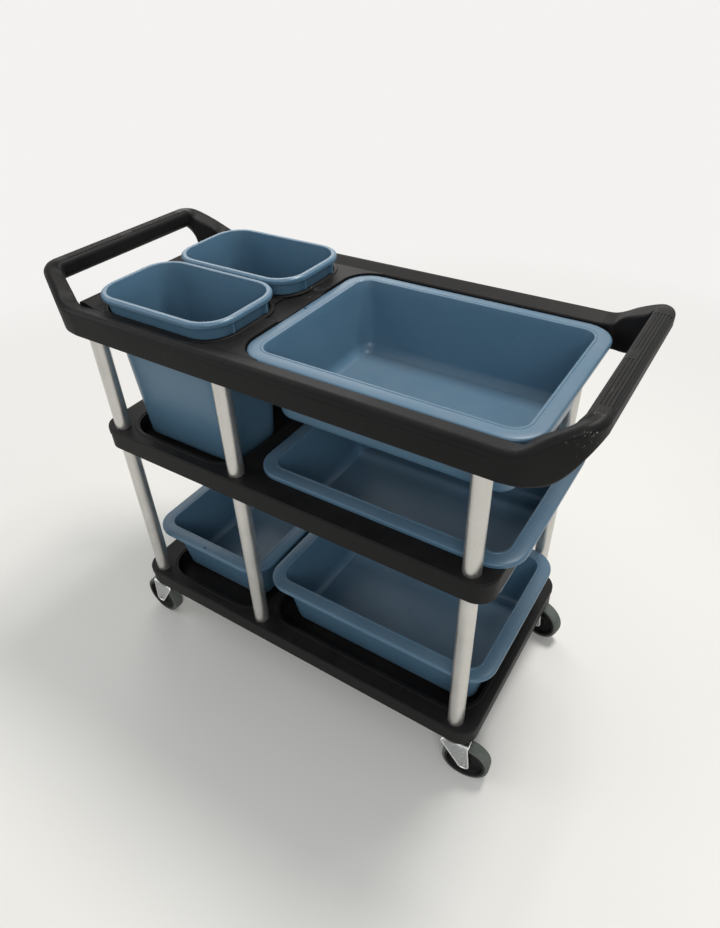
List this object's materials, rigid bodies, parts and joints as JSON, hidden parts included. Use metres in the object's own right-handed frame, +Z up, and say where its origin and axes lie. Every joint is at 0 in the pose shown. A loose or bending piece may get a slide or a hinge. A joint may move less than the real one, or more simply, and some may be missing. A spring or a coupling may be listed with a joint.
{
  "type": "food service trolley",
  "caption": "Three-shelf service trolley with moulded shelves, round metal posts, swivel casters, lift-out tubs and waste bins, and a loop handle at each end.",
  "frame": {"origin": "on the floor, under the middle of the trolley's overall box", "axes": "+X along the trolley from the bins towards the large tub, +Y across it to the back, +Z up"},
  "size_m": [1.0862, 0.4802, 0.907],
  "materials": {
    "shelf_plastic": "fine-grained black moulding",
    "post_aluminium": "satin",
    "tub_plastic": "smooth slate blue moulding",
    "zinc_steel": "bright zinc plate",
    "fixing_steel": "zinc plate",
    "plug_plastic": "plain moulding",
    "wheel_plastic": "smooth black moulding",
    "tread_rubber": "dark grey rubber"
  },
  "bodies": {
    "trolley": {"back_left_stem": "fixing_steel", "back_right_stem": "fixing_steel", "bottom_shelf": "shelf_plastic", "foot_bolts": "fixing_steel", "foot_plugs": "plug_plastic", "foot_washers": "fixing_steel", "front_left_stem": "fixing_steel", "front_right_stem": "fixing_steel", "lower_post_back_left": "post_aluminium", "lower_post_back_mid": "post_aluminium", "lower_post_back_right": "post_aluminium", "lower_post_front_left": "post_aluminium", "lower_post_front_mid": "post_aluminium", "lower_post_front_right": "post_aluminium", "mid_shelf": "shelf_plastic", "post_spigots": "plug_plastic", "top_shelf": "shelf_plastic", "upper_post_back_left": "post_aluminium", "upper_post_back_mid": "post_aluminium", "upper_post_back_right": "post_aluminium", "upper_post_front_left": "post_aluminium", "upper_post_front_mid": "post_aluminium", "upper_post_front_right": "post_aluminium"},
    "back_bin_lift": {"back_bin": "tub_plastic"},
    "back_left_swivel": {"back_left_axle": "fixing_steel", "back_left_fork": "zinc_steel", "back_left_ring": "plug_plastic"},
    "back_left_roller": {"back_left_tyre": "tread_rubber", "back_left_wheel": "wheel_plastic"},
    "back_right_swivel": {"back_right_axle": "fixing_steel", "back_right_fork": "zinc_steel", "back_right_ring": "plug_plastic"},
    "back_right_roller": {"back_right_tyre": "tread_rubber", "back_right_wheel": "wheel_plastic"},
    "front_bin_lift": {"front_bin": "tub_plastic"},
    "front_left_swivel": {"front_left_axle": "fixing_steel", "front_left_fork": "zinc_steel", "front_left_ring": "plug_plastic"},
    "front_left_roller": {"front_left_tyre": "tread_rubber", "front_left_wheel": "wheel_plastic"},
    "front_right_swivel": {"front_right_axle": "fixing_steel", "front_right_fork": "zinc_steel", "front_right_ring": "plug_plastic"},
    "front_right_roller": {"front_right_tyre": "tread_rubber", "front_right_wheel": "wheel_plastic"},
    "low_large_tub_lift": {"low_large_tub": "tub_plastic"},
    "low_small_tub_lift": {"low_small_tub": "tub_plastic"},
    "mid_tub_lift": {"mid_tub": "tub_plastic"},
    "top_tub_lift": {"top_tub": "tub_plastic"}
  },
  "joints": [
    {"name": "front_left_turn", "type": "hinge", "parent": "trolley", "child": "front_left_swivel", "pos_m": [-0.398, -0.2155, 0.112], "axis": [0, 0, 1], "continuous": true},
    {"name": "front_left_roll", "type": "hinge", "parent": "front_left_swivel", "child": "front_left_roller", "pos_m": [-0.42892, -0.21334, 0.05], "axis": [-0.0698, -0.9976, 0], "continuous": true},
    {"name": "front_right_turn", "type": "hinge", "parent": "trolley", "child": "front_right_swivel", "pos_m": [0.398, -0.2155, 0.112], "axis": [0, 0, 1], "continuous": true},
    {"name": "front_right_roll", "type": "hinge", "parent": "front_right_swivel", "child": "front_right_roller", "pos_m": [0.42883, -0.21226, 0.05], "axis": [-0.1045, 0.9945, 0], "continuous": true},
    {"name": "back_left_turn", "type": "hinge", "parent": "trolley", "child": "back_left_swivel", "pos_m": [-0.398, 0.2155, 0.112], "axis": [0, 0, 1], "continuous": true},
    {"name": "back_left_roll", "type": "hinge", "parent": "back_left_swivel", "child": "back_left_roller", "pos_m": [-0.4287, 0.21119, 0.05], "axis": [0.1392, -0.9903, 0], "continuous": true},
    {"name": "back_right_turn", "type": "hinge", "parent": "trolley", "child": "back_right_swivel", "pos_m": [0.398, 0.2155, 0.112], "axis": [0, 0, 1], "continuous": true},
    {"name": "back_right_roll", "type": "hinge", "parent": "back_right_swivel", "child": "back_right_roller", "pos_m": [0.42832, 0.20905, 0.05], "axis": [0.2079, 0.9781, 0], "continuous": true},
    {"name": "front_bin_lift_out", "type": "slide", "parent": "trolley", "child": "front_bin_lift", "axis": [0, 0, 1], "range_m": [0, 0.36]},
    {"name": "back_bin_lift_out", "type": "slide", "parent": "trolley", "child": "back_bin_lift", "axis": [0, 0, 1], "range_m": [0, 0.36]},
    {"name": "top_tub_lift_out", "type": "slide", "parent": "trolley", "child": "top_tub_lift", "axis": [0, 0, 1], "range_m": [0, 0.18]},
    {"name": "mid_tub_lift_out", "type": "slide", "parent": "trolley", "child": "mid_tub_lift", "axis": [0, 0, 1], "range_m": [0, 0.09]},
    {"name": "low_large_tub_lift_out", "type": "slide", "parent": "trolley", "child": "low_large_tub_lift", "axis": [0, 0, 1], "range_m": [0, 0.15]},
    {"name": "low_small_tub_lift_out", "type": "slide", "parent": "trolley", "child": "low_small_tub_lift", "axis": [0, 0, 1], "range_m": [0, 0.15]}
  ]
}
